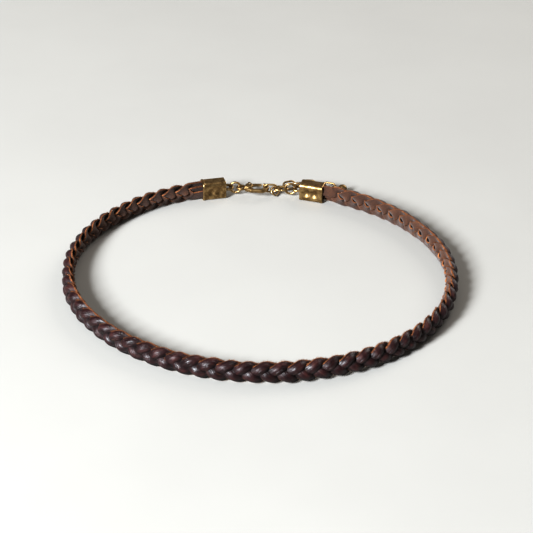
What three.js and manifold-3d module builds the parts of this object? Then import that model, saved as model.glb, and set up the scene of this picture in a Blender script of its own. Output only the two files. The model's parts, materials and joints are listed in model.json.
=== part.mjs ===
// Braided leather choker: three leather laces plaited into an oval neck band, with an
// antique-brass crimp cap at each end, a lobster clasp on the left and an extender chain
// on the right. Millimetres, +Z up. The band stands on its lower edge, its front faces -Y
// and the clasp line runs along X at the back (+Y).
import * as THREE from "three";
import { mergeVertices } from "three/addons/utils/BufferGeometryUtils.js";
import Module from "manifold-3d";

const wasm = await Module();
wasm.setup();

// --- Band ---
const OUTER_WIDTH = 130; // across the worn oval, outside to outside
const BAND_HEIGHT = 6.6; // width of the plait, standing upright
const BAND_THICKNESS = 3.4; // through the plait at its crown
const OVAL_RATIO = 0.93; // front-to-back over side-to-side
const OVAL_A = (OUTER_WIDTH - BAND_THICKNESS) / 2;
const OVAL_B = OVAL_A * OVAL_RATIO;
const MID_HEIGHT = BAND_HEIGHT / 2;
const FRAME_SHIFT_Y = -3.2; // puts the middle of the whole outline at the origin

// --- Laces and their plait ---
const LACE_WIDTH = 2.5;
const LACE_THICKNESS = 1.1;
const PLAIT_PERIOD = 16.2; // one lace from an edge back to the same edge
const SIDE_SWING = (BAND_HEIGHT - LACE_WIDTH) / 2;
const SWING_FLATTENING = 0.06; // share of third harmonic in the side swing
const DEPTH_SWING = 1.08;
const LACE_TILT = 0.33; // radians, the laces lie like roof tiles
const STEPS_PER_PERIOD = 12;
const GATHER_LENGTH = 11; // over this length at each end the laces run side by side and draw in
const GATHERED_SWING = 1.2; // side swing left in the cap
const GATHERED_DEPTH = 1.5; // depth swing left in the cap

// --- End caps ---
const CAP_LENGTH = 8.6;
const CAP_DEPTH = 5.2;
const CAP_WALL = 0.55;
const CAP_END_PLATE = 1.1;
const CAP_CORNER = 1.1;
const EYE_RADIUS = 1.7; // ring through which the jump ring hangs, centre of wire
const EYE_WIRE = 0.5; // wire radius

// --- Jump rings and chain ---
const RING_RADIUS = 2.0;
const RING_WIRE = 0.4;
const LINK_LENGTH = 4.7; // between the wire centres of both ends
const LINK_HALF_WIDTH = 1.45; // wire centre
const LINK_WIRE = 0.35;
const PLAY = 0.18; // air between two wires that hold each other
const HOOK_PLAY = 0.35; // air between the hook and the link it holds
const TAIL_LINKS = 7;
const TAIL_PLAY = 0.25; // between the links on the floor
const HANG_PLAY = 0.5; // between the held link and the first one hanging from it
const TAIL_OFFSET = 1.2; // first hanging link, along X from the middle of the held link
const TAIL_HEADINGS = [68, 46, 26, 10, -2, -12, -20, -28]; // degrees from +X, on the floor
const TAIL_AXIS_HEIGHT = 1.4; // middle of a chain link lying on the floor
const DROP_EYE_RADIUS = 1.1;
const DROP_BALL_RADIUS = 1.75;

// --- Lobster clasp, drawn flat with the middle of its tail eye at 0,0 ---
const CLASP_THICKNESS = 1.4;
const CLASP_HEAD_THICKNESS = 2.2;
const CLASP_BEVEL = 0.25;
const TAIL_EYE_RADIUS = 1.3;
const HOOK_CENTRE = 7.2; // middle of the hook's round end
const HOOK_RADIUS = 2.3;
const HOOK_HALF_BAR = 0.55;
const PIVOT = new THREE.Vector2(2.9, 1.0);
const PIN_RADIUS = 0.3;
const PIN_HOLE_RADIUS = 0.4;
const TRIGGER_THICKNESS = 0.8;
const TRIGGER_SLOT = 1.1;

const solids = new THREE.Group();
solids.name = "braided_choker";

// ---------- helpers ----------

// A closed three.js geometry as a manifold-3d solid.
function toManifold(geometry) {
  const plain = new THREE.BufferGeometry();
  const source = geometry.index ? geometry.toNonIndexed() : geometry;
  plain.setAttribute("position", source.getAttribute("position"));
  const merged = mergeVertices(plain, 1e-4);
  return new wasm.Manifold(
    new wasm.Mesh({
      numProp: 3,
      vertProperties: merged.attributes.position.array,
      triVerts: new Uint32Array(merged.index.array),
    }),
  );
}

// A manifold-3d solid back as three.js geometry.
function fromManifold(solid) {
  const mesh = solid.getMesh();
  const geometry = new THREE.BufferGeometry();
  geometry.setAttribute("position", new THREE.BufferAttribute(mesh.vertProperties.slice(), 3));
  geometry.setIndex(new THREE.BufferAttribute(mesh.triVerts.slice(), 1));
  return geometry;
}

const join = (...geometries) => fromManifold(wasm.Manifold.union(geometries.map(toManifold)));
const cut = (body, ...tools) =>
  fromManifold(toManifold(body).subtract(wasm.Manifold.union(tools.map(toManifold))));

const BRASS = { color: 0x8a6a3c, roughness: 0.45, metalness: 1 };
const LEATHER = { color: 0x2e1c17, roughness: 0.5, metalness: 0 };

function addNode(name, geometry, look, matrix = new THREE.Matrix4()) {
  const placed = geometry.clone().applyMatrix4(matrix);
  placed.translate(0, FRAME_SHIFT_Y, 0);
  placed.computeVertexNormals();
  const mesh = new THREE.Mesh(placed, new THREE.MeshStandardMaterial(look));
  mesh.name = name;
  solids.add(mesh);
}

// A surface over a row of rings of points, closed at both ends, or into a loop.
function skin(rings, closedLoop) {
  const sides = rings[0].length;
  const positions = [];
  const index = [];
  rings.forEach((ring) => ring.forEach((p) => positions.push(p.x, p.y, p.z)));
  const spans = closedLoop ? rings.length : rings.length - 1;
  for (let i = 0; i < spans; i++) {
    const next = (i + 1) % rings.length;
    for (let k = 0; k < sides; k++) {
      const side = (k + 1) % sides;
      const a = i * sides + k;
      const b = i * sides + side;
      const c = next * sides + k;
      const d = next * sides + side;
      index.push(a, b, c, b, d, c);
    }
  }
  if (!closedLoop) {
    const last = (rings.length - 1) * sides;
    for (let k = 1; k < sides - 1; k++) {
      index.push(0, k + 1, k);
      index.push(last, last + k, last + k + 1);
    }
  }
  const geometry = new THREE.BufferGeometry();
  geometry.setAttribute("position", new THREE.Float32BufferAttribute(positions, 3));
  geometry.setIndex(index);
  return geometry;
}

// A round wire along a closed flat path in the XY plane.
function wireLoop(pathPoint, wireRadius, steps, sides = 8) {
  const rings = [];
  for (let i = 0; i < steps; i++) {
    const here = pathPoint(i / steps);
    const ahead = pathPoint((i + 1e-3) / steps);
    const behind = pathPoint((i - 1e-3) / steps);
    const along = ahead.clone().sub(behind).normalize();
    const inward = new THREE.Vector3(-along.y, along.x, 0);
    const ring = [];
    for (let k = 0; k < sides; k++) {
      const angle = (2 * Math.PI * (k + 0.5)) / sides;
      const point = here.clone().addScaledVector(inward, wireRadius * Math.cos(angle));
      point.z += wireRadius * Math.sin(angle);
      ring.push(point);
    }
    rings.push(ring);
  }
  return skin(rings, true);
}

const circlePath = (radius) => (t) =>
  new THREE.Vector3(radius * Math.cos(2 * Math.PI * t), radius * Math.sin(2 * Math.PI * t), 0);

// Stadium path along X: straight sides with a half circle at each end.
function stadiumPath(length, halfWidth) {
  const straight = length - 2 * halfWidth;
  const total = 2 * straight + 2 * Math.PI * halfWidth;
  return (t) => {
    let s = (((t % 1) + 1) % 1) * total;
    if (s < straight) return new THREE.Vector3(-straight / 2 + s, -halfWidth, 0);
    s -= straight;
    if (s < Math.PI * halfWidth) {
      const turn = s / halfWidth - Math.PI / 2;
      return new THREE.Vector3(
        straight / 2 + halfWidth * Math.cos(turn),
        halfWidth * Math.sin(turn),
        0,
      );
    }
    s -= Math.PI * halfWidth;
    if (s < straight) return new THREE.Vector3(straight / 2 - s, halfWidth, 0);
    s -= straight;
    const turn = s / halfWidth + Math.PI / 2;
    return new THREE.Vector3(
      -straight / 2 + halfWidth * Math.cos(turn),
      halfWidth * Math.sin(turn),
      0,
    );
  };
}

// A flat shape as a plate of the given thickness, centred on z = 0, with bevelled edges.
function plate(shape, thickness, bevel = 0, curveSegments = 10) {
  const geometry = new THREE.ExtrudeGeometry(shape, {
    depth: thickness - 2 * bevel,
    bevelEnabled: bevel > 0,
    bevelThickness: bevel,
    bevelSize: bevel,
    bevelOffset: -bevel,
    bevelSegments: 1,
    curveSegments,
  });
  geometry.translate(0, 0, -(thickness - 2 * bevel) / 2);
  return geometry;
}

function roundedRectangle(width, height, corner) {
  const x = width / 2;
  const y = height / 2;
  const shape = new THREE.Shape();
  shape.moveTo(-x + corner, -y);
  shape.lineTo(x - corner, -y);
  shape.absarc(x - corner, -y + corner, corner, -Math.PI / 2, 0, false);
  shape.lineTo(x, y - corner);
  shape.absarc(x - corner, y - corner, corner, 0, Math.PI / 2, false);
  shape.lineTo(-x + corner, y);
  shape.absarc(-x + corner, y - corner, corner, Math.PI / 2, Math.PI, false);
  shape.lineTo(-x, -y + corner);
  shape.absarc(-x + corner, -y + corner, corner, Math.PI, 1.5 * Math.PI, false);
  return shape;
}

// ---------- the oval, measured along its length from the middle of the back ----------

const OVAL_SAMPLES = 4000;
const ovalAngle = (i) => Math.PI / 2 - (2 * Math.PI * i) / OVAL_SAMPLES;
const ovalPoint = (angle) =>
  new THREE.Vector3(OVAL_A * Math.cos(angle), OVAL_B * Math.sin(angle), 0);
const ovalLengths = [0];
for (let i = 1; i <= OVAL_SAMPLES; i++) {
  const stride = ovalPoint(ovalAngle(i)).distanceTo(ovalPoint(ovalAngle(i - 1)));
  ovalLengths.push(ovalLengths[i - 1] + stride);
}
const OVAL_LENGTH = ovalLengths[OVAL_SAMPLES];

// Place, direction of travel (towards +X at the back) and outward normal at a length.
function ovalAt(length) {
  let low = 0;
  let high = OVAL_SAMPLES;
  while (high - low > 1) {
    const middle = (low + high) >> 1;
    if (ovalLengths[middle] <= length) low = middle;
    else high = middle;
  }
  const share = (length - ovalLengths[low]) / (ovalLengths[high] - ovalLengths[low]);
  const angle = ovalAngle(low + share);
  const point = ovalPoint(angle);
  const along = new THREE.Vector3(
    OVAL_A * Math.sin(angle),
    -OVAL_B * Math.cos(angle),
    0,
  ).normalize();
  const outward = new THREE.Vector3(-along.y, along.x, 0);
  return { point, along, outward };
}

// ---------- clasp line: every piece's place along X, from the left eye rightwards ----------

const leftEye = 0; // middle of the left cap's eye; the line is centred further down
const leftRing = leftEye + EYE_RADIUS - EYE_WIRE - RING_WIRE - PLAY + RING_RADIUS;
const claspTail = leftRing + RING_RADIUS - RING_WIRE - HOOK_HALF_BAR - PLAY + TAIL_EYE_RADIUS;
const hookInside = claspTail + HOOK_CENTRE + HOOK_RADIUS - HOOK_HALF_BAR;
const heldLink = hookInside - HOOK_PLAY - LINK_WIRE + LINK_LENGTH / 2; // chain link in the hook
const firstLink = heldLink + LINK_LENGTH - 2 * LINK_WIRE - PLAY;
const rightRing = firstLink + LINK_LENGTH / 2 - LINK_WIRE - RING_WIRE - PLAY + RING_RADIUS;
const rightEye = rightRing + RING_RADIUS - RING_WIRE - EYE_WIRE - PLAY + EYE_RADIUS;
const EYE_HALF_DISTANCE = (rightEye - leftEye) / 2;
const onLine = (x) => x - EYE_HALF_DISTANCE;

const EYE_REACH = CAP_LENGTH / 2 + EYE_RADIUS - EYE_WIRE; // cap middle to eye middle

// Length along the oval at which the cap's eye falls on the clasp line's end.
function capArc() {
  let low = 5;
  let high = 40;
  for (let i = 0; i < 40; i++) {
    const middle = (low + high) / 2;
    const { point, along } = ovalAt(middle);
    if (point.x - along.x * EYE_REACH > EYE_HALF_DISTANCE) high = middle;
    else low = middle;
  }
  return (low + high) / 2;
}
const CAP_ARC = capArc();
const capPlace = ovalAt(CAP_ARC);
const LINE_Y = capPlace.point.y - capPlace.along.y * EYE_REACH;

// ---------- laces ----------

const LACE_START = CAP_ARC - CAP_LENGTH / 2 + CAP_END_PLATE + 0.5;
const LACE_RUN = OVAL_LENGTH - 2 * LACE_START;
const PERIODS = Math.round(((LACE_RUN - 2 * GATHER_LENGTH) / PLAIT_PERIOD) * 6) / 6;

// Six-sided section, thickest in the middle; first number across the lace, second through it.
const LACE_SECTION = [
  [LACE_WIDTH / 2, 0],
  [LACE_WIDTH * 0.22, LACE_THICKNESS / 2],
  [-LACE_WIDTH * 0.22, LACE_THICKNESS / 2],
  [-LACE_WIDTH / 2, 0],
  [-LACE_WIDTH * 0.22, -LACE_THICKNESS / 2],
  [LACE_WIDTH * 0.22, -LACE_THICKNESS / 2],
];

const smooth = (t) => t * t * (3 - 2 * t);

function lacePoint(t, phase) {
  const length = LACE_START + t * LACE_RUN;
  const plaited = (t * LACE_RUN - GATHER_LENGTH) / (LACE_RUN - 2 * GATHER_LENGTH);
  const angle = 2 * Math.PI * PERIODS * THREE.MathUtils.clamp(plaited, 0, 1) + phase;
  const fromEnd = Math.min(t, 1 - t) * LACE_RUN;
  const free = smooth(Math.min(1, fromEnd / GATHER_LENGTH));
  const sideSwing = THREE.MathUtils.lerp(GATHERED_SWING, SIDE_SWING, free);
  const depthSwing = THREE.MathUtils.lerp(GATHERED_DEPTH, DEPTH_SWING, free);
  const swing =
    (Math.sin(angle) - SWING_FLATTENING * Math.sin(3 * angle)) / (1 + SWING_FLATTENING);
  const { point, outward } = ovalAt(length);
  const centre = point.clone().addScaledVector(outward, -depthSwing * Math.sin(2 * angle));
  centre.z = MID_HEIGHT + sideSwing * swing;
  return { centre, outward, tilt: LACE_TILT * free * Math.cos(3 * angle) };
}

function lace(phase) {
  const steps = Math.round((LACE_RUN / PLAIT_PERIOD) * STEPS_PER_PERIOD);
  const rings = [];
  for (let i = 0; i <= steps; i++) {
    const t = i / steps;
    const here = lacePoint(t, phase);
    const ahead = lacePoint(Math.min(1, t + 1e-5), phase).centre;
    const behind = lacePoint(Math.max(0, t - 1e-5), phase).centre;
    const along = ahead.sub(behind).normalize();
    const face = here.outward.clone().multiplyScalar(Math.cos(here.tilt));
    face.z += Math.sin(here.tilt);
    face.addScaledVector(along, -face.dot(along)).normalize();
    const across = new THREE.Vector3().crossVectors(face, along);
    rings.push(
      LACE_SECTION.map(([x, y]) =>
        here.centre.clone().addScaledVector(across, x).addScaledVector(face, y),
      ),
    );
  }
  return skin(rings, false);
}

const START_PHASE = Math.PI / 3;
for (let i = 0; i < 3; i++) {
  addNode("lace_" + (i + 1), lace(START_PHASE + (i * 2 * Math.PI) / 3), LEATHER);
}

// ---------- end caps: a sleeve, a closed end and an eye; local +X points at the clasp ----------

function endCap() {
  const outside = roundedRectangle(CAP_DEPTH, BAND_HEIGHT, CAP_CORNER);
  const sleeve = new THREE.ExtrudeGeometry(outside, {
    depth: CAP_LENGTH,
    bevelEnabled: false,
    curveSegments: 4,
  });
  const mouth = new THREE.ExtrudeGeometry(
    roundedRectangle(
      CAP_DEPTH - 2 * CAP_WALL,
      BAND_HEIGHT - 2 * CAP_WALL,
      CAP_CORNER - CAP_WALL,
    ),
    { depth: CAP_LENGTH, bevelEnabled: false, curveSegments: 4 },
  );
  mouth.translate(0, 0, -CAP_END_PLATE);
  const box = cut(sleeve, mouth);
  // The sleeve is drawn up its own Z axis; lay it along X with its closed end at +X.
  const turn = new THREE.Matrix4().makeBasis(
    new THREE.Vector3(0, 1, 0),
    new THREE.Vector3(0, 0, 1),
    new THREE.Vector3(1, 0, 0),
  );
  box.applyMatrix4(turn);
  box.translate(-CAP_LENGTH / 2, 0, MID_HEIGHT);
  const eye = wireLoop(circlePath(EYE_RADIUS), EYE_WIRE, 20);
  eye.translate(EYE_REACH, 0, MID_HEIGHT);
  return join(box, eye);
}

const rightCapFrame = new THREE.Matrix4()
  .makeBasis(
    capPlace.along.clone().negate(),
    capPlace.outward.clone().negate(),
    new THREE.Vector3(0, 0, 1),
  )
  .setPosition(capPlace.point);
addNode("end_cap_right", endCap(), BRASS, rightCapFrame);
const leftCapPlace = ovalAt(OVAL_LENGTH - CAP_ARC);
const leftCapFrame = new THREE.Matrix4()
  .makeBasis(leftCapPlace.along, leftCapPlace.outward, new THREE.Vector3(0, 0, 1))
  .setPosition(leftCapPlace.point);
addNode("end_cap_left", endCap(), BRASS, leftCapFrame);

// ---------- jump rings and the two chain links on the clasp line ----------

// Matrix that puts a flat loop on the clasp line: flat, or standing up.
function lineFrame(x, standing) {
  const frame = new THREE.Matrix4();
  if (standing) frame.makeRotationX(Math.PI / 2);
  return frame.setPosition(onLine(x), LINE_Y, MID_HEIGHT);
}

const jumpRing = () => wireLoop(circlePath(RING_RADIUS), RING_WIRE, 20);
const chainLink = () => wireLoop(stadiumPath(LINK_LENGTH, LINK_HALF_WIDTH), LINK_WIRE, 22, 6);

addNode("jump_ring_left", jumpRing(), BRASS, lineFrame(leftRing, true));
addNode("jump_ring_right", jumpRing(), BRASS, lineFrame(rightRing, true));
addNode("chain_link_1", chainLink(), BRASS, lineFrame(firstLink, false));
addNode("chain_link_2", chainLink(), BRASS, lineFrame(heldLink, true));

// ---------- lobster clasp ----------

// A flat band around part of a circle.
function arcBand(centreX, radius, halfBar, from, to) {
  const shape = new THREE.Shape();
  shape.absarc(centreX, 0, radius + halfBar, from, to, false);
  shape.absarc(centreX, 0, radius - halfBar, to, from, true);
  return shape;
}

function polygon(points) {
  return new THREE.Shape(points.map(([x, y]) => new THREE.Vector2(x, y)));
}

function disc(x, y, radius) {
  const shape = new THREE.Shape();
  shape.absarc(x, y, radius, 0, 2 * Math.PI, false);
  return shape;
}

function claspBody() {
  const tailEye = wireLoop(circlePath(TAIL_EYE_RADIUS), HOOK_HALF_BAR, 18);
  const hook = plate(
    arcBand(HOOK_CENTRE, HOOK_RADIUS, HOOK_HALF_BAR, -Math.PI / 2, (73 * Math.PI) / 180),
    CLASP_THICKNESS,
    CLASP_BEVEL,
  );
  const spine = plate(
    polygon([
      [1.1, -1.0],
      [3.4, -HOOK_RADIUS - HOOK_HALF_BAR],
      [HOOK_CENTRE + 0.3, -HOOK_RADIUS - HOOK_HALF_BAR],
      [HOOK_CENTRE + 0.3, -HOOK_RADIUS + HOOK_HALF_BAR],
      [4.6, -HOOK_RADIUS + HOOK_HALF_BAR],
      [3.6, -0.3],
      [1.4, 0.6],
    ]),
    CLASP_THICKNESS,
    CLASP_BEVEL,
  );
  const head = plate(
    polygon([
      [1.2, -0.9],
      [2.6, -1.6],
      [3.9, -1.0],
      [4.2, 0.6],
      [3.9, 1.8],
      [2.6, 2.0],
      [1.5, 1.2],
    ]),
    CLASP_HEAD_THICKNESS,
    CLASP_BEVEL,
  );
  const slot = plate(
    polygon([
      [1.9, -0.25],
      [7, -0.25],
      [7, 6],
      [1.9, 6],
    ]),
    TRIGGER_SLOT,
  );
  const pinHole = plate(disc(PIVOT.x, PIVOT.y, PIN_HOLE_RADIUS), 4, 0, 8);
  return cut(join(tailEye, hook, spine, head), slot, pinHole);
}

function claspTrigger() {
  const lever = polygon([
    [2.25, 0.65],
    [2.7, 0.2],
    [3.5, 0.35],
    [4.9, 1.35],
    [7.25, 1.6],
    [7.45, 2.0],
    [7.3, 2.6],
    [5.0, 2.6],
    [3.7, 2.45],
    [3.3, 3.6],
    [2.7, 3.9],
    [2.3, 3.5],
    [2.5, 2.2],
    [2.2, 1.4],
  ]);
  const pinHole = plate(disc(PIVOT.x, PIVOT.y, PIN_HOLE_RADIUS), 4, 0, 8);
  return cut(plate(lever, TRIGGER_THICKNESS, 0.12), pinHole);
}

const claspFrame = lineFrame(claspTail, false);
addNode("clasp_body", claspBody(), BRASS, claspFrame);
addNode("clasp_trigger", claspTrigger(), BRASS, claspFrame);
const pin = new THREE.CylinderGeometry(PIN_RADIUS, PIN_RADIUS, CLASP_HEAD_THICKNESS, 12);
pin.rotateX(Math.PI / 2);
pin.translate(PIVOT.x, PIVOT.y, 0);
addNode("clasp_pin", pin, BRASS, claspFrame);

// ---------- the loose end of the chain, lying on the floor behind the band ----------

// Frame of a link: X along it, its plane rolled by 45 degrees either way.
function tailFrame(start, headingDegrees, drop, side) {
  const heading = THREE.MathUtils.degToRad(headingDegrees);
  const along = new THREE.Vector3(Math.cos(heading), Math.sin(heading), -drop).normalize();
  const level = new THREE.Vector3(-along.y, along.x, 0).normalize();
  const up = new THREE.Vector3().crossVectors(along, level);
  const inPlane = level.clone().add(up.clone().multiplyScalar(side)).normalize();
  const normal = new THREE.Vector3().crossVectors(along, inPlane);
  return { along, matrix: new THREE.Matrix4().makeBasis(along, inPlane, normal), start };
}

const firstHeading = THREE.MathUtils.degToRad(TAIL_HEADINGS[0]);
let cursor = new THREE.Vector3(
  onLine(heldLink) + TAIL_OFFSET,
  LINE_Y,
  MID_HEIGHT - LINK_HALF_WIDTH,
);
cursor.addScaledVector(
  new THREE.Vector3(Math.cos(firstHeading), Math.sin(firstHeading), 0),
  -(2 * LINK_WIRE + HANG_PLAY),
);
for (let i = 0; i < TAIL_LINKS; i++) {
  const height = i === 0 ? cursor.z : TAIL_AXIS_HEIGHT;
  const drop = i === 0 ? (cursor.z - TAIL_AXIS_HEIGHT) / LINK_LENGTH : 0;
  cursor.z = height;
  const { along, matrix } = tailFrame(cursor, TAIL_HEADINGS[i], drop, i % 2 ? -1 : 1);
  const middle = cursor.clone().addScaledVector(along, LINK_LENGTH / 2);
  addNode("chain_link_" + (i + 3), chainLink(), BRASS, matrix.setPosition(middle));
  cursor = cursor.clone().addScaledVector(along, LINK_LENGTH - 2 * LINK_WIRE - TAIL_PLAY);
}

function drop() {
  const eye = wireLoop(circlePath(DROP_EYE_RADIUS), LINK_WIRE, 16, 6);
  const ball = new THREE.SphereGeometry(DROP_BALL_RADIUS, 16, 10);
  ball.translate(DROP_EYE_RADIUS + LINK_WIRE + DROP_BALL_RADIUS - 0.35, 0, 0);
  return join(eye, ball);
}
const dropSide = TAIL_LINKS % 2 ? -1 : 1;
cursor.z = TAIL_AXIS_HEIGHT;
const dropPlace = tailFrame(cursor, TAIL_HEADINGS[TAIL_LINKS], -0.12, dropSide);
const dropMiddle = cursor.clone().addScaledVector(dropPlace.along, DROP_EYE_RADIUS);
addNode("chain_drop", drop(), BRASS, dropPlace.matrix.setPosition(dropMiddle));

export default solids;
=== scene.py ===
"""Braided leather choker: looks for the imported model, in its own frame.

Shapes are worked out in millimetres and turned into metres when their mesh is made.
Camera and lights are placed in metres.
"""
import json
import math

import bpy
import numpy as np
from mathutils import Matrix, Vector


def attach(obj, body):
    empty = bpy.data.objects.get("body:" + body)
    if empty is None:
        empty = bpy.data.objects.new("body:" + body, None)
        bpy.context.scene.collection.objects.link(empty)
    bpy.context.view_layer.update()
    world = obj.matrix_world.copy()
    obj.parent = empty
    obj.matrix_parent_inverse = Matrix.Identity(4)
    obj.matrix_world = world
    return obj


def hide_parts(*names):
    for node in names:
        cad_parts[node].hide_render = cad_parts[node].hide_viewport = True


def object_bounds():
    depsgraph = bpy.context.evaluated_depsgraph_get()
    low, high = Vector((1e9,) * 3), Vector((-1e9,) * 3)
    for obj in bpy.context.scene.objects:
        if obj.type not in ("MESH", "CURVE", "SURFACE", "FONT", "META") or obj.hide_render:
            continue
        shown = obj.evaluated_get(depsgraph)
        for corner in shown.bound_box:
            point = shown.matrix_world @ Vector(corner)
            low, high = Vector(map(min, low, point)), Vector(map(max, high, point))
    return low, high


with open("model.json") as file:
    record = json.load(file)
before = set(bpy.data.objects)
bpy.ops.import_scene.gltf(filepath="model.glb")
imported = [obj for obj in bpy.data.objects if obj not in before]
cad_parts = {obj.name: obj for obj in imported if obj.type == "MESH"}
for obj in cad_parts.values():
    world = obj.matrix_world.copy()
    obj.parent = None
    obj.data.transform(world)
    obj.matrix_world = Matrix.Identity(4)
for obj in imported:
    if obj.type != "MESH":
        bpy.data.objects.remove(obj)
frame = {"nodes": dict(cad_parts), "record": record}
cad_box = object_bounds()
MM = 0.001

# ---------- sizes shared with the CAD model, millimetres ----------
OUTER_WIDTH = 130.0
BAND_HEIGHT = 6.6
BAND_THICKNESS = 3.4
OVAL_RATIO = 0.93
OVAL_A = (OUTER_WIDTH - BAND_THICKNESS) / 2
OVAL_B = OVAL_A * OVAL_RATIO
FRAME_SHIFT_Y = -3.2
CAP_ARC = 18.14  # middle of an end cap, along the oval from the middle of the back
CAP_LENGTH = 8.6
CAP_DEPTH = 5.2
LACE_RUN = 353.04  # of the oval's length that the laces cover
PLAIT_TURNS = 20.5
GATHER_LENGTH = 11.0  # over which the laces come together, from each end
GATHERED_SWING = 1.2
GATHERED_DEPTH = 1.5

# ---------- the real laces: wider than their CAD stand-ins, and touching ----------
LACE_COUNT = 3
LACE_WIDTH = 3.4
EDGE_THICKNESS = 0.5
CROWN = 1.25  # bulge of the grain side
CROWN_POWER = 0.8  # of the bulge's outline, fuller near the borders when lower
PLAIT_HEIGHT = 6.85
PLAIT_MIDDLE = 3.6  # height of its middle, so that no bulge sinks into the floor
PLAIT_INSET = 0.3  # the crowned side faces out, so the centre line moves in
SIDE_SWING = (PLAIT_HEIGHT - LACE_WIDTH) / 2
SWING_FLATTENING = 0.06
DEPTH_SWING = 1.12
LACE_TILT = 0.36
FRONT_LEAN = math.radians(14)  # assumed: worn, the front lies back on the slope of the neck
FIRST_PHASE = math.pi / 3
GATHERED_WIDTH = 0.86  # of the full width, at the lace's ends
GATHERED_CROWN = 0.5  # of the full bulge, at the lace's ends
FLESH_WIDTH = 0.98  # of the grain side's width
FLESH_HOLLOW = 0.1
EDGE_BULGE = 0.04
EDGE_CORNER = 0.55  # an edge's two corners, in half thicknesses from its middle
STEPS_PER_TURN = 60
GRAIN_COLUMNS = 19
FLESH_COLUMNS = 9

# ---------- uneven handwork: period along the lace in mm, and amount ----------
PHASE_DRIFT = (9.0, 0.05)
HEIGHT_DRIFT = (7.0, 0.06)
TILT_DRIFT = (6.0, 0.05)
WIDTH_DRIFT = (5.0, 0.05)
CROWN_DRIFT = (4.0, 0.12)
FOLD_DRIFT = (3.1, 0.04)
FRAY_DRIFT = (0.55, 0.05)
FOLD_STAGGER = 40  # mm along the drift for half a lace width, so folds differ across the lace
FIRST_SEED = 11
SEED_STEP = 20  # more than the channels of drift that one lace uses
FRINGE_CHANNEL = 50
MAP_START_STEP = 7.0  # mm of map for each step of the seed

# ---------- loose fibres on the cut edges ----------
FIBRES_PER_MM = 36.0
RIM_REACH = 1.1  # fibres grow where an edge points out of the plait by this much, in mm
FACE_DEPTH = 0.2  # or where it lies this far out on the front face
FIBRE_LENGTH = 0.9  # of the very longest
SHORTEST_SHARE = 0.34  # of the longest, before the direction shortens it
LENGTH_POWER = 2.6  # the higher, the fewer long ones
SIDEWAYS_SHARE = 0.35  # of the length that a fibre has when it doesn't point up
FIBRE_RADIUS = 0.027
FIBRE_SIDES = 3
ROOT_DEPTH = 0.12  # buried in the edge
MIDDLE_RADIUS = 0.6  # of the root's radius
LEAN_ALONG = 0.55
LEAN_THROUGH = 0.4
BEND = 1.9  # lean of a fibre's outer half, in leans of its inner half
BEND_ALONG = 0.4
BARE_STEPS = 4  # without fibres at each end of a lace
TINY = 0.01  # keeps two directions from ever being parallel

# ---------- camera ----------
VIEW_ELEVATION = math.radians(31.3)
VIEW_DISTANCE = 0.55
VIEW_ROLL = math.radians(1.4)
VIEW_AIM_RIGHT = 0.0020
VIEW_AIM_UP = 0.0017
FOCAL_LENGTH = 111.8  # mm, on a 36 mm sensor

ring_centre = Vector((0, FRAME_SHIFT_Y, BAND_HEIGHT / 2)) * MM


def add_camera():
    back = Vector((0, -math.cos(VIEW_ELEVATION), math.sin(VIEW_ELEVATION)))
    right = Vector((1, 0, 0))
    up = back.cross(right)
    aim = ring_centre + right * VIEW_AIM_RIGHT + up * VIEW_AIM_UP
    data = bpy.data.cameras.new("camera")
    data.lens = FOCAL_LENGTH
    data.sensor_width = 36
    data.clip_start = 0.01
    camera = bpy.data.objects.new("camera", data)
    turn = Matrix((right, up, back)).transposed() @ Matrix.Rotation(VIEW_ROLL, 3, "Z")
    camera.matrix_world = Matrix.Translation(aim + back * VIEW_DISTANCE) @ turn.to_4x4()
    bpy.context.scene.collection.objects.link(camera)
    bpy.context.scene.camera = camera


add_camera()

# ---------- materials ----------


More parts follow.
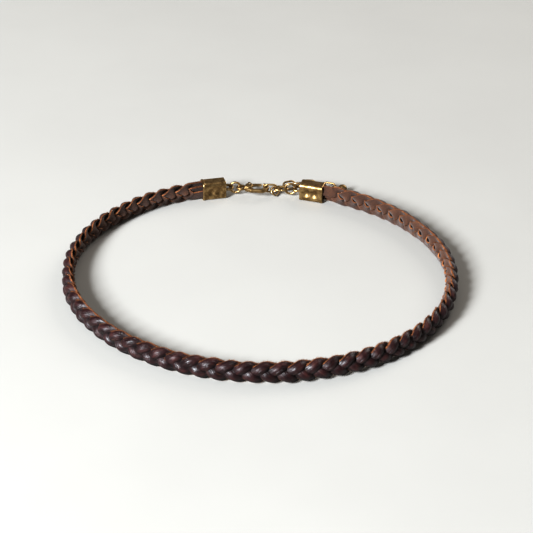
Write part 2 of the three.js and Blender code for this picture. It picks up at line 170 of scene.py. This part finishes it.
class Shader:
    """A material's node tree with short calls to add and join nodes."""

    def __init__(self, name, roughness=0.5, metallic=0.0):
        self.material = bpy.data.materials.new(name)
        self.material.use_nodes = True
        self.tree = self.material.node_tree
        self.surface = self.tree.nodes["Principled BSDF"]
        self.surface.inputs["Roughness"].default_value = roughness
        self.surface.inputs["Metallic"].default_value = metallic

    def node(self, kind, **settings):
        made = self.tree.nodes.new(kind)
        for key, value in settings.items():
            setattr(made, key, value)
        return made

    def join(self, source, target):
        self.tree.links.new(source, target)

    def give(self, source, socket_name):
        self.join(source, self.surface.inputs[socket_name])

    def noise(self, vector, scale, detail=3.0, roughness=0.55):
        made = self.node("ShaderNodeTexNoise")
        made.inputs["Scale"].default_value = scale
        made.inputs["Detail"].default_value = detail
        made.inputs["Roughness"].default_value = roughness
        self.join(vector, made.inputs["Vector"])
        return made.outputs["Fac"]

    def stretched(self, vector, stretch):
        made = self.node("ShaderNodeMapping")
        made.inputs["Scale"].default_value = stretch
        self.join(vector, made.inputs["Vector"])
        return made.outputs["Vector"]

    def ramp(self, value, stops):
        made = self.node("ShaderNodeValToRGB")
        elements = made.color_ramp.elements
        while len(elements) < len(stops):
            elements.new(0.5)
        for element, (place, colour) in zip(elements, stops):
            element.position = place
            element.color = (*colour, 1)
        self.join(value, made.inputs["Fac"])
        return made.outputs["Color"]

    def level(self, value, low, high, out_low=0.0, out_high=1.0):
        made = self.node("ShaderNodeMapRange")
        made.inputs["From Min"].default_value = low
        made.inputs["From Max"].default_value = high
        made.inputs["To Min"].default_value = out_low
        made.inputs["To Max"].default_value = out_high
        self.join(value, made.inputs["Value"])
        return made.outputs["Result"]

    def mix(self, share, first, second):
        made = self.node("ShaderNodeMix", data_type="RGBA")
        self.join(share, made.inputs["Factor"])
        for name, value in (("A", first), ("B", second)):
            sockets = [s for s in made.inputs if s.name == name and s.type == "RGBA"]
            if isinstance(value, tuple):
                sockets[0].default_value = (*value, 1)
            else:
                self.join(value, sockets[0])
        return next(s for s in made.outputs if s.type == "RGBA")

    def sum(self, first, second, second_share=1.0):
        made = self.node("ShaderNodeMath", operation="MULTIPLY_ADD")
        self.join(second, made.inputs[0])
        made.inputs[1].default_value = second_share
        self.join(first, made.inputs[2])
        return made.outputs["Value"]

    def valleys(self, noise, half_width):
        """1 over most of a surface, falling to 0 along thin winding lines."""
        centred = self.node("ShaderNodeMath", operation="SUBTRACT")
        centred.inputs[1].default_value = 0.5
        self.join(noise, centred.inputs[0])
        distance = self.node("ShaderNodeMath", operation="ABSOLUTE")
        self.join(centred.outputs["Value"], distance.inputs[0])
        return self.level(distance.outputs["Value"], 0.0, half_width)

    def bump(self, height, distance, strength=1.0):
        made = self.node("ShaderNodeBump")
        made.inputs["Distance"].default_value = distance
        made.inputs["Strength"].default_value = strength
        self.join(height, made.inputs["Height"])
        self.give(made.outputs["Normal"], "Normal")

    def lace_coordinates(self):
        """Millimetres along and across the lace, from the mesh's own map."""
        return self.node("ShaderNodeUVMap", uv_map="lace_mm").outputs["UV"]

    def object_coordinates(self):
        return self.node("ShaderNodeTexCoord").outputs["Object"]

    def occlusion_mask(self, distance):
        """1 on open surfaces, lower where neighbours close in, from ambient occlusion; the colour uses
        it as painted shade.
        """
        made = self.node("ShaderNodeAmbientOcclusion", samples=8)
        made.inputs["Distance"].default_value = distance
        return self.level(made.outputs["AO"], low=0.36, high=0.96)

    def edge_wear(self, hollow, ridge):
        """0 in hollows and 1 on ridges, from how sharply the surface turns."""
        turn = self.node("ShaderNodeNewGeometry").outputs["Pointiness"]
        return self.level(turn, hollow, ridge)


RAW_LEATHER_DARK = (0.085, 0.027, 0.010)
RAW_LEATHER = (0.175, 0.060, 0.018)
RAW_LEATHER_PALE = (0.33, 0.135, 0.045)
GRAIN_DARK = (0.0060, 0.0012, 0.0016)
GRAIN_BROWN = (0.019, 0.0040, 0.0044)
GRAIN_PALE = (0.054, 0.0140, 0.0115)
GRAIN_CRACK = (0.075, 0.031, 0.018)
# near-black painted shade, blended into the grain where neighbours close in
GRAIN_PAINTED_SHADE = (0.0022, 0.0009, 0.0009)
FLESH_DARK = (0.021, 0.0078, 0.0040)
FLESH_BROWN = (0.050, 0.0185, 0.0080)
FLESH_PALE = (0.10, 0.038, 0.015)
BRASS_TARNISHED = (0.045, 0.028, 0.015)
BRASS_BROWN = (0.22, 0.140, 0.062)
BRASS_RUBBED = (0.46, 0.32, 0.155)
STEEL_DARK = (0.36, 0.35, 0.33)
STEEL_PALE = (0.52, 0.51, 0.48)
FLOOR_DARK = (0.345, 0.328, 0.304)
FLOOR_PALE = (0.358, 0.341, 0.316)


def grain_material():
    """Waxed dark-brown grain side: mottled, creased lengthwise, worn through at its borders, and
    darkened with painted shade where neighbours close in.
    """
    shader = Shader("leather_grain")
    shader.surface.inputs["Specular IOR Level"].default_value = 0.42
    uv = shader.lace_coordinates()
    mottle = shader.noise(uv, scale=0.5, detail=4.0)
    base = shader.ramp(mottle, [(0.3, GRAIN_DARK), (0.52, GRAIN_BROWN), (0.75, GRAIN_PALE)])
    lengthwise = shader.stretched(uv, (0.30, 1.9, 1))
    creases = shader.noise(lengthwise, scale=1.0, detail=3.0, roughness=0.5)
    cracks = shader.level(creases, low=0.62, high=0.74)
    creased = shader.mix(cracks, base, GRAIN_CRACK)
    longer = shader.stretched(uv, (0.20, 1.15, 1))
    folds = shader.valleys(shader.noise(longer, scale=1.0, detail=2.0), half_width=0.035)
    across = shader.node("ShaderNodeSeparateXYZ")
    shader.join(uv, across.inputs["Vector"])
    from_middle = shader.node("ShaderNodeMath", operation="ABSOLUTE")
    shader.join(across.outputs["Y"], from_middle.inputs[0])
    tatter = shader.noise(uv, scale=2.0, detail=4.0, roughness=0.65)
    ragged = shader.sum(from_middle.outputs["Value"], tatter, 0.5)
    border = LACE_WIDTH / 2
    worn = shader.level(ragged, low=border + 0.18, high=border + 0.34)
    # ambient occlusion within 3 mm: it paints shade into the colour below and raises the roughness
    occlusion_shade_mask = shader.occlusion_mask(3.0 * MM)
    clean = shader.mix(worn, creased, RAW_LEATHER)
    # painted shade: the colour falls towards near black where the surface is occluded
    shader.give(shader.mix(occlusion_shade_mask, GRAIN_PAINTED_SHADE, clean), "Base Color")
    dullness = shader.sum(shader.sum(mottle, worn, 0.8), occlusion_shade_mask, -0.7)
    roughness = shader.level(dullness, low=-0.4, high=0.6, out_low=0.28, out_high=0.9)
    shader.give(roughness, "Roughness")
    pebble = shader.noise(uv, scale=5.0, detail=4.0, roughness=0.6)
    relief = shader.sum(shader.sum(mottle, creases, 0.45), pebble, 0.30)
    shader.bump(shader.sum(relief, folds, 0.38), 0.15 * MM)
    return shader.material


def edge_material():
    """Raw cut edge: orange-brown and fibrous."""
    shader = Shader("leather_cut_edge", roughness=0.85)
    uv = shader.lace_coordinates()
    fibres = shader.noise(shader.stretched(uv, (1.0, 2.0, 1)), scale=2.2, detail=5.0, roughness=0.7)
    patches = shader.noise(uv, scale=0.6, detail=2.0)
    tone = shader.sum(fibres, patches, 0.7)
    tones = [(0.62, RAW_LEATHER_DARK), (0.86, RAW_LEATHER), (1.0, RAW_LEATHER_PALE)]
    shader.give(shader.ramp(tone, tones), "Base Color")
    shader.bump(fibres, 0.15 * MM)
    return shader.material


def flesh_material():
    """Suede flesh side."""
    shader = Shader("leather_flesh", roughness=0.95)
    uv = shader.lace_coordinates()
    nap = shader.noise(uv, scale=3.2, detail=5.0, roughness=0.7)
    patches = shader.noise(uv, scale=0.35, detail=3.0)
    tone = shader.sum(nap, patches, 0.6)
    tones = [(0.5, FLESH_DARK), (0.82, FLESH_BROWN), (1.0, FLESH_PALE)]
    shader.give(shader.ramp(tone, tones), "Base Color")
    shader.surface.inputs["Sheen Weight"].default_value = 0.2
    shader.surface.inputs["Sheen Roughness"].default_value = 0.5
    shader.bump(nap, 0.2 * MM)
    return shader.material


def fibre_material():
    shader = Shader("leather_fibre", roughness=0.9)
    tint = shader.noise(shader.object_coordinates(), scale=900.0, detail=3.0)
    tones = [(0.32, RAW_LEATHER_DARK), (0.55, RAW_LEATHER), (0.75, RAW_LEATHER_PALE)]
    shader.give(shader.ramp(tint, tones), "Base Color")
    return shader.material


def brass_material():
    """Antiqued brass: dark brown in hollows, rubbed bright on ridges, faintly scratched."""
    shader = Shader("antique_brass", metallic=1.0)
    where = shader.object_coordinates()
    patina = shader.noise(where, scale=650.0, detail=5.0, roughness=0.62)
    scratches = shader.noise(shader.stretched(where, (1, 6, 6)), scale=1100.0, detail=3.0)
    rubbed = shader.sum(patina, shader.edge_wear(hollow=0.44, ridge=0.60), 0.55)
    tone = shader.sum(rubbed, scratches, 0.2)
    tones = [(0.50, BRASS_TARNISHED), (0.78, BRASS_BROWN), (1.0, BRASS_RUBBED)]
    shader.give(shader.ramp(tone, tones), "Base Color")
    roughness = shader.level(tone, low=0.5, high=1.0, out_low=0.55, out_high=0.33)
    shader.give(roughness, "Roughness")
    shader.bump(shader.sum(patina, scratches, 0.5), 0.03 * MM)
    return shader.material


def steel_material():
    shader = Shader("pin_steel", roughness=0.3, metallic=1.0)
    turned = shader.noise(shader.object_coordinates(), scale=2500.0, detail=2.0)
    shader.give(shader.ramp(turned, [(0.3, STEEL_DARK), (0.7, STEEL_PALE)]), "Base Color")
    shader.bump(turned, 0.01 * MM)
    return shader.material


GRAIN = grain_material()
EDGE = edge_material()
FLESH = flesh_material()
FIBRE = fibre_material()
BRASS = brass_material()
STEEL = steel_material()


def add_piece(name, vertices_mm, faces, materials, body):
    """A new mesh object from millimetres, riding on a body."""
    mesh = bpy.data.meshes.new(name)
    mesh.from_pydata((vertices_mm * MM).tolist(), [], faces)
    for material in materials:
        mesh.materials.append(material)
    mesh.polygons.foreach_set("use_smooth", [True] * len(mesh.polygons))
    piece = bpy.data.objects.new(name, mesh)
    bpy.context.scene.collection.objects.link(piece)
    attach(piece, body)
    return piece


# ---------- the oval ----------

OVAL_SAMPLES = 8000
sample_angles = math.pi / 2 - np.linspace(0, 2 * math.pi, OVAL_SAMPLES + 1)
sample_points = np.stack([OVAL_A * np.cos(sample_angles), OVAL_B * np.sin(sample_angles)], axis=1)
sample_strides = np.linalg.norm(np.diff(sample_points, axis=0), axis=1)
sample_lengths = np.concatenate([[0], np.cumsum(sample_strides)])
OVAL_LENGTH = sample_lengths[-1]
LACE_START = (OVAL_LENGTH - LACE_RUN) / 2


def unit(vectors):
    return vectors / np.linalg.norm(vectors, axis=1, keepdims=True)


def oval_at(lengths):
    """Points, directions of travel and outward normals, measured from the middle of the back."""
    angles = np.interp(lengths, sample_lengths, sample_angles)
    cosines = np.cos(angles)
    sines = np.sin(angles)
    level = np.zeros(len(angles))
    points = np.stack([OVAL_A * cosines, OVAL_B * sines + FRAME_SHIFT_Y, level], axis=1)
    along = unit(np.stack([OVAL_A * sines, -OVAL_B * cosines, level], axis=1))
    outward = np.stack([-along[:, 1], along[:, 0], level], axis=1)
    return points, along, outward


# ---------- the plait ----------


def smooth(share):
    share = np.clip(share, 0, 1)
    return share * share * (3 - 2 * share)


def wander(values, seed, period, amount):
    """A smooth random drift of the given period along the lace."""
    random = np.random.default_rng(seed)
    knots = random.uniform(-1, 1, int(values.max() / period) + 4)
    place = values / period
    low = place.astype(int)
    return amount * (knots[low] + (knots[low + 1] - knots[low]) * smooth(place - low))


class LacePath:
    """Where one lace runs: its centre line and, at each step, its face and width directions.

    The handwork is uneven by channels of drift, which differ in their seed or in their period.
    """

    def __init__(self, phase, seed):
        plaited_run = LACE_RUN - 2 * GATHER_LENGTH
        steps = int(LACE_RUN / plaited_run * PLAIT_TURNS * STEPS_PER_TURN)
        run = np.linspace(0, LACE_RUN, steps + 1)
        free = smooth(np.minimum(run, LACE_RUN - run) / GATHER_LENGTH)
        self.seed = seed
        self.run = run
        self.free = free  # 1 in the open plait, falling to 0 at the lace's ends
        plaited = np.clip((run - GATHER_LENGTH) / plaited_run, 0, 1)
        angle = 2 * math.pi * PLAIT_TURNS * plaited + phase + self.free_drift(0, PHASE_DRIFT)
        side = GATHERED_SWING + (SIDE_SWING - GATHERED_SWING) * free
        depth = GATHERED_DEPTH + (DEPTH_SWING - GATHERED_DEPTH) * free
        swing = (np.sin(angle) - SWING_FLATTENING * np.sin(3 * angle)) / (1 + SWING_FLATTENING)
        middle, _, level_outward = oval_at(LACE_START + run)
        middle[:, 2] = PLAIT_MIDDLE
        towards_front = np.clip(-level_outward[:, 1], 0, 1)
        lean = (FRONT_LEAN * towards_front**2)[:, None]
        up = np.array([[0.0, 0.0, 1.0]])
        outward = level_outward * np.cos(lean) + up * np.sin(lean)
        rise = up * np.cos(lean) - level_outward * np.sin(lean)
        self.middle = middle
        self.outward = outward
        inward = (PLAIT_INSET * free + depth * np.sin(2 * angle))[:, None]
        height = (side * swing + self.free_drift(1, HEIGHT_DRIFT))[:, None]
        self.centre = middle - outward * inward + rise * height
        self.along = unit(np.gradient(self.centre, axis=0))
        tilt = (LACE_TILT * free * np.cos(3 * angle) + self.free_drift(2, TILT_DRIFT))[:, None]
        face = outward * np.cos(tilt) + rise * np.sin(tilt)
        self.face = unit(face - self.along * np.sum(face * self.along, axis=1, keepdims=True))
        self.across = np.cross(self.face, self.along)
        narrowed = GATHERED_WIDTH + (1 - GATHERED_WIDTH) * free
        flattened = GATHERED_CROWN + (1 - GATHERED_CROWN) * free
        self.half_width = LACE_WIDTH / 2 * (1 + self.drift(3, WIDTH_DRIFT)) * narrowed
        self.crown = CROWN * (1 + self.drift(4, CROWN_DRIFT)) * flattened

    def drift(self, channel, period_and_amount, offset=0):
        return wander(self.run + offset, self.seed + channel, *period_and_amount)

    def free_drift(self, channel, period_and_amount):
        return self.free * self.drift(channel, period_and_amount)

    def place(self, x, y):
        """Points at x across the lace and y through it, one for each step."""
        return self.centre + self.across * x[:, None] + self.face * y[:, None]


def lace_section():
    """Going round the lace: which side each point is on, and its place on that side."""
    grain = [("grain", x) for x in np.linspace(-1, 1, GRAIN_COLUMNS)]
    right = [("right", y) for y in (EDGE_CORNER, -EDGE_CORNER)]
    flesh = [("flesh", x) for x in np.linspace(1, -1, FLESH_COLUMNS)]
    left = [("left", y) for y in (-EDGE_CORNER, EDGE_CORNER)]
    return grain + right + flesh + left


def section_point(path, side, place):
    """Distances across and through the lace for one point of its section, at each step."""
    half_thickness = EDGE_THICKNESS / 2
    if side == "grain":
        bulge = (1 - place**2) ** CROWN_POWER
        fold = path.drift(5, FOLD_DRIFT, offset=FOLD_STAGGER * (place + 1))
        return place * path.half_width, half_thickness + (path.crown + fold) * bulge
    if side == "flesh":
        hollow = FLESH_HOLLOW * (1 - place**2) * path.free
        return place * path.half_width * FLESH_WIDTH, hollow - half_thickness
    sign = 1 if side == "right" else -1
    channel = {("left", -1): 1, ("right", -1): 2, ("left", 1): 11, ("right", 1): 12}
    fray = path.drift(channel[side, np.sign(place)], FRAY_DRIFT)
    level = np.full(len(path.run), place * half_thickness)
    return sign * (path.half_width + EDGE_BULGE + fray), level


GRAIN_SLOT = 0
EDGE_SLOT = 1
FLESH_SLOT = 2


def slot_between(side, next_side):
    """Material slot of the faces between two neighbouring points of the section."""
    if side == next_side == "grain":
        return GRAIN_SLOT
    if side == next_side == "flesh":
        return FLESH_SLOT
    return EDGE_SLOT


def build_lace(name, path):
    section = lace_section()
    columns = [section_point(path, side, place) for side, place in section]
    vertices = np.stack([path.place(x, y) for x, y in columns], axis=1)
    corners = len(section)
    steps = len(path.run)
    faces = []
    slots = []
    for k in range(corners):
        following = (k + 1) % corners
        slot = slot_between(section[k][0], section[following][0])
        for i in range(steps - 1):
            here = i * corners
            ahead = here + corners
            faces.append((here + k, ahead + k, ahead + following, here + following))
            slots.append(slot)
    last = (steps - 1) * corners
    faces.append(tuple(range(corners)))
    faces.append(tuple(last + k for k in reversed(range(corners))))
    slots += [EDGE_SLOT, EDGE_SLOT]
    lace = add_piece(name, vertices.reshape(-1, 3), faces, (GRAIN, EDGE, FLESH), "choker")
    lace.data.polygons.foreach_set("material_index", slots)
    add_lace_map(lace.data, path, columns)
    return lace


def add_lace_map(mesh, path, columns):
    """Map in millimetres along and across, started elsewhere on each lace so that none repeats."""
    corner_vertex = np.empty(len(mesh.loops), dtype=int)
    mesh.loops.foreach_get("vertex_index", corner_vertex)
    along_mm = path.run[corner_vertex // len(columns)] + path.seed * MAP_START_STEP
    across_mm = np.stack([x for x, _ in columns], axis=1).reshape(-1)[corner_vertex]
    layer = mesh.uv_layers.new(name="lace_mm")
    layer.data.foreach_set("uv", np.stack([along_mm, across_mm], axis=1).reshape(-1))
    mesh.update()


def build_fringe(name, path):
    """Loose fibres on the open cut edges of a lace: thin bent spikes, longest where they point up."""
    random = np.random.default_rng(path.seed + FRINGE_CHANNEL)
    count = int(2 * LACE_RUN * FIBRES_PER_MM)
    step = random.integers(BARE_STEPS, len(path.run) - BARE_STEPS, count)
    sign = random.choice([-1.0, 1.0], count)
    outward = path.across[step] * sign[:, None]
    root = path.centre[step] + outward * path.half_width[step][:, None]
    on_rim = outward[:, 2] * (root[:, 2] - PLAIT_MIDDLE) > RIM_REACH
    on_face = np.sum((root - path.middle[step]) * path.outward[step], axis=1) > FACE_DEPTH
    seen = on_rim | on_face
    step, outward, root = step[seen], outward[seen], root[seen]
    along = path.along[step]
    face = path.face[step]
    count = len(step)
    spread = random.normal(size=(count, 4))
    root += face * (EDGE_THICKNESS / 2 * np.tanh(spread[:, 0]))[:, None]
    upward = SIDEWAYS_SHARE + (1 - SIDEWAYS_SHARE) * np.clip(outward[:, 2], 0, 1)
    chance = SHORTEST_SHARE + (1 - SHORTEST_SHARE) * random.random(count) ** LENGTH_POWER
    half_length = (FIBRE_LENGTH * chance * upward / 2)[:, None]
    lean = along * (LEAN_ALONG * spread[:, 1])[:, None] + face * (LEAN_THROUGH * spread[:, 2])[:, None]
    first = unit(outward + lean)
    second = unit(outward + BEND * lean + along * (BEND_ALONG * spread[:, 3])[:, None])
    middle = root + first * half_length
    tip = middle + second * half_length
    for points in (middle, tip):
        points[:, 2] = np.maximum(points[:, 2], FIBRE_RADIUS)  # none goes through the floor
    base = root - first * ROOT_DEPTH
    side = unit(np.cross(first, face + TINY))
    lift = np.cross(first, side)
    corners = []
    for centre, radius in ((base, FIBRE_RADIUS), (middle, MIDDLE_RADIUS * FIBRE_RADIUS)):
        for k in range(FIBRE_SIDES):
            turn = 2 * math.pi * k / FIBRE_SIDES
            corners.append(centre + radius * (math.cos(turn) * side + math.sin(turn) * lift))
    corners.append(tip)
    vertices = np.stack(corners, axis=1).reshape(-1, 3)
    tip_corner = 2 * FIBRE_SIDES
    one = [tuple(reversed(range(FIBRE_SIDES)))]
    for k in range(FIBRE_SIDES):
        following = (k + 1) % FIBRE_SIDES
        one.append((k, following, FIBRE_SIDES + following, FIBRE_SIDES + k))
        one.append((FIBRE_SIDES + k, FIBRE_SIDES + following, tip_corner))
    faces = []
    for i in range(count):
        faces += [tuple(i * len(corners) + corner for corner in flat) for flat in one]
    return add_piece(name, vertices, faces, (FIBRE,), "choker")


for i in range(LACE_COUNT):
    path = LacePath(FIRST_PHASE + i * 2 * math.pi / LACE_COUNT, FIRST_SEED + SEED_STEP * i)
    strand = build_lace("leather_lace_%d" % (i + 1), path)
    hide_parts("lace_%d" % (i + 1))
    build_fringe("edge_fibres_%d" % (i + 1), path)

# ---------- metal pieces, in the places of the CAD solids ----------

LINK_COUNT = 9
LINK_LENGTH = 4.7
LINK_HALF_WIDTH = 1.45
LINK_WIRE = 0.35  # radius
RING_RADIUS = 2.0
RING_WIRE = 0.4  # radius
LOOP_STEPS = 120
STEP_DRIFT = 0.3  # mm by which the steps along a loop run ahead, so that they are widest at its seam
WIRE_SIDES = 20
SEAM_HALF_WIDTH = 0.07
SEAM_DEPTH = 0.22  # of the wire's radius
body_of = {
    node: body
    for body, nodes in frame["record"]["behaviour"]["bodies"].items()
    for node in nodes
}


def cad_points(node):
    mesh = frame["nodes"][node].data
    points = np.empty(3 * len(mesh.vertices))
    mesh.vertices.foreach_get("co", points)
    return points.reshape(-1, 3) / MM


def loop_axes(node):
    """Middle of a flat loop of wire and its directions: along it, across it and square to it."""
    points = cad_points(node)
    middle = (points.max(axis=0) + points.min(axis=0)) / 2
    _, axes = np.linalg.eigh((points - middle).T @ (points - middle))
    square, across = axes[:, 0], axes[:, 1]
    if across[2] > 0:
        across = -across
    return middle, np.cross(across, square), across, square


def add_metal(node, points, faces, material=BRASS, slot="antique_brass"):
    piece = add_piece("fine_" + node, points, faces, (material,), body_of[node])
    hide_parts(node)


def wire_loop(node, length, half_width, wire):
    """A drawn wire bent into a flat loop, its two ends meeting at a fine seam on one side."""
    middle, along, across, square = loop_axes(node)
    straight = length / 2 - half_width
    total = 4 * straight + 2 * math.pi * half_width
    travelled = np.linspace(0, total, LOOP_STEPS, endpoint=False)
    travelled = travelled + STEP_DRIFT * np.sin(2 * math.pi * travelled / total)
    place = np.minimum(travelled, total - travelled)
    turn = np.clip((place - straight) / half_width, 0, math.pi)
    shift = np.minimum(place, straight) - np.clip(place - straight - math.pi * half_width, 0, None)
    sign = np.where(travelled <= total / 2, 1.0, -1.0)
    radial = np.stack([sign * np.sin(turn), np.cos(turn)], axis=1)
    core = np.stack([sign * shift, 0 * shift], axis=1) + half_width * radial
    pinch = 1 - SEAM_DEPTH * np.clip(1 - place / SEAM_HALF_WIDTH, 0, 1)
    rings = []
    for k in range(WIRE_SIDES):
        angle = 2 * math.pi * k / WIRE_SIDES
        flat = core + (wire * math.cos(angle) * pinch)[:, None] * radial
        height = wire * math.sin(angle) * pinch
        rings.append(middle + flat[:, :1] * along + flat[:, 1:] * across + height[:, None] * square)
    points = np.stack(rings, axis=1).reshape(-1, 3)
    faces = []
    for i in range(LOOP_STEPS):
        here = i * WIRE_SIDES
        ahead = (i + 1) % LOOP_STEPS * WIRE_SIDES
        for k in range(WIRE_SIDES):
            following = (k + 1) % WIRE_SIDES
            faces.append((here + k, here + following, ahead + following, ahead + k))
    add_metal(node, points, faces)


for i in range(LINK_COUNT):
    wire_loop("chain_link_%d" % (i + 1), LINK_LENGTH, LINK_HALF_WIDTH, LINK_WIRE)
for node in ("jump_ring_left", "jump_ring_right"):
    wire_loop(node, 2 * RING_RADIUS, RING_RADIUS, RING_WIRE)


def rounded_copy(node, voxel, passes):
    """Points in millimetres and faces of a finely remeshed, softened copy of a CAD node."""
    draft = frame["nodes"][node].data.copy()
    draft.transform(Matrix.Scale(1 / MM, 4))
    helper = bpy.data.objects.new("draft", draft)
    bpy.context.scene.collection.objects.link(helper)
    remesh = helper.modifiers.new("remesh", "REMESH")
    remesh.mode = "VOXEL"
    remesh.voxel_size = voxel
    soften = helper.modifiers.new("soften", "SMOOTH")
    soften.factor = 0.5
    soften.iterations = passes
    graph = bpy.context.evaluated_depsgraph_get()
    fine = bpy.data.meshes.new_from_object(helper.evaluated_get(graph))
    bpy.data.objects.remove(helper)
    points = np.empty(3 * len(fine.vertices))
    fine.vertices.foreach_get("co", points)
    faces = [tuple(face.vertices) for face in fine.polygons]
    return points.reshape(-1, 3), faces


# voxel size in mm and smoothing passes
CLASP_ROUNDING = (0.075, 34)
TRIGGER_ROUNDING = (0.06, 22)
DROP_ROUNDING = (0.08, 14)
PIN_ROUNDING = (0.035, 5)
CAP_ROUNDING = (0.11, 16)

add_metal("clasp_body", *rounded_copy("clasp_body", *CLASP_ROUNDING))
add_metal("clasp_trigger", *rounded_copy("clasp_trigger", *TRIGGER_ROUNDING))
add_metal("chain_drop", *rounded_copy("chain_drop", *DROP_ROUNDING))
add_metal("clasp_pin", *rounded_copy("clasp_pin", *PIN_ROUNDING), STEEL, "pin_steel")

DENT_RADIUS = 1.9
DENT_DEPTH = 0.6
DENT_PLACES = (-1.1, 1.7)  # from a cap's middle towards its closed end
RIM_HEIGHT = 0.16
RIM_HALF_WIDTH = 0.5
RADIAL_GUARD = 1e-9  # keeps a direction from ever having no length


def dent(points, centre, push):
    """Press a round-bottomed crimp dent into a wall."""
    share = np.linalg.norm(points - centre, axis=1) / DENT_RADIUS
    depth = DENT_DEPTH * np.clip(1 - share**2, 0, 1) ** 2
    points += depth[:, None] * push


def crimped_cap(node, arc, closed_end):
    """End cap with a rolled rim at its mouth and two crimp dents in each broad face."""
    points, faces = rounded_copy(node, *CAP_ROUNDING)
    place, along, outward = (row[0] for row in oval_at(np.array([arc])))
    along = along * closed_end
    middle = place + np.array([0, 0, BAND_HEIGHT / 2])
    offset = points - middle
    ahead = offset @ along
    radial = offset - ahead[:, None] * along
    mouth = -CAP_LENGTH / 2 + RIM_HALF_WIDTH
    rim = np.clip(1 - ((ahead - mouth) / RIM_HALF_WIDTH) ** 2, 0, 1)
    points += RIM_HEIGHT * rim[:, None] * unit(radial + RADIAL_GUARD)
    for side in (1, -1):
        for shift in DENT_PLACES:
            centre = middle + along * shift + outward * (side * CAP_DEPTH / 2)
            dent(points, centre, -side * outward)
    points[:, 2] = np.maximum(points[:, 2], 0)  # the rim stays flat where it meets the floor
    add_metal(node, points, faces)


crimped_cap("end_cap_right", CAP_ARC, -1)
crimped_cap("end_cap_left", OVAL_LENGTH - CAP_ARC, 1)

# ---------- floor and light ----------


def add_floor():
    shader = Shader("pale_floor", roughness=0.9)
    cloud = shader.noise(shader.object_coordinates(), scale=14.0, detail=3.0)
    shader.give(shader.ramp(cloud, [(0.3, FLOOR_DARK), (0.7, FLOOR_PALE)]), "Base Color")
    bpy.ops.mesh.primitive_plane_add(size=8, location=(0, 0, cad_box[0][2]))
    floor = bpy.context.object
    floor.name = "floor"
    floor.data.materials.append(shader.material)


def add_light(name, place, width, height, power, colour):
    data = bpy.data.lights.new(name, "AREA")
    data.shape = "RECTANGLE"
    data.size = width
    data.size_y = height
    data.energy = power
    data.color = colour
    light = bpy.data.objects.new(name, data)
    aim = ring_centre - Vector(place)
    light.rotation_euler = aim.to_track_quat("-Z", "Y").to_euler()
    light.location = place
    bpy.context.scene.collection.objects.link(light)


add_floor()
add_light("window", (-0.82, -0.88, 0.72), width=0.30, height=0.46, power=80.0, colour=(0.88, 0.94, 1.0))
add_light("back", (0.75, 0.95, 0.75), width=0.80, height=0.80, power=11.0, colour=(1.0, 0.98, 0.95))
add_light("top", (-0.1, 0.3, 1.1), width=1.0, height=1.0, power=2.0, colour=(1.0, 0.96, 0.90))

AMBIENT_COLOUR = (1.0, 0.98, 0.96, 1)
AMBIENT_STRENGTH = 0.22
DISPLAY_GAMMA = 0.76  # darkens the middle tones of the picture alone; no material carries it

world = bpy.data.worlds.new("studio")
world.use_nodes = True
ambient = world.node_tree.nodes["Background"]
ambient.inputs["Color"].default_value = AMBIENT_COLOUR
ambient.inputs["Strength"].default_value = AMBIENT_STRENGTH
bpy.context.scene.world = world
bpy.context.scene.view_settings.view_transform = "Standard"
bpy.context.scene.view_settings.gamma = DISPLAY_GAMMA
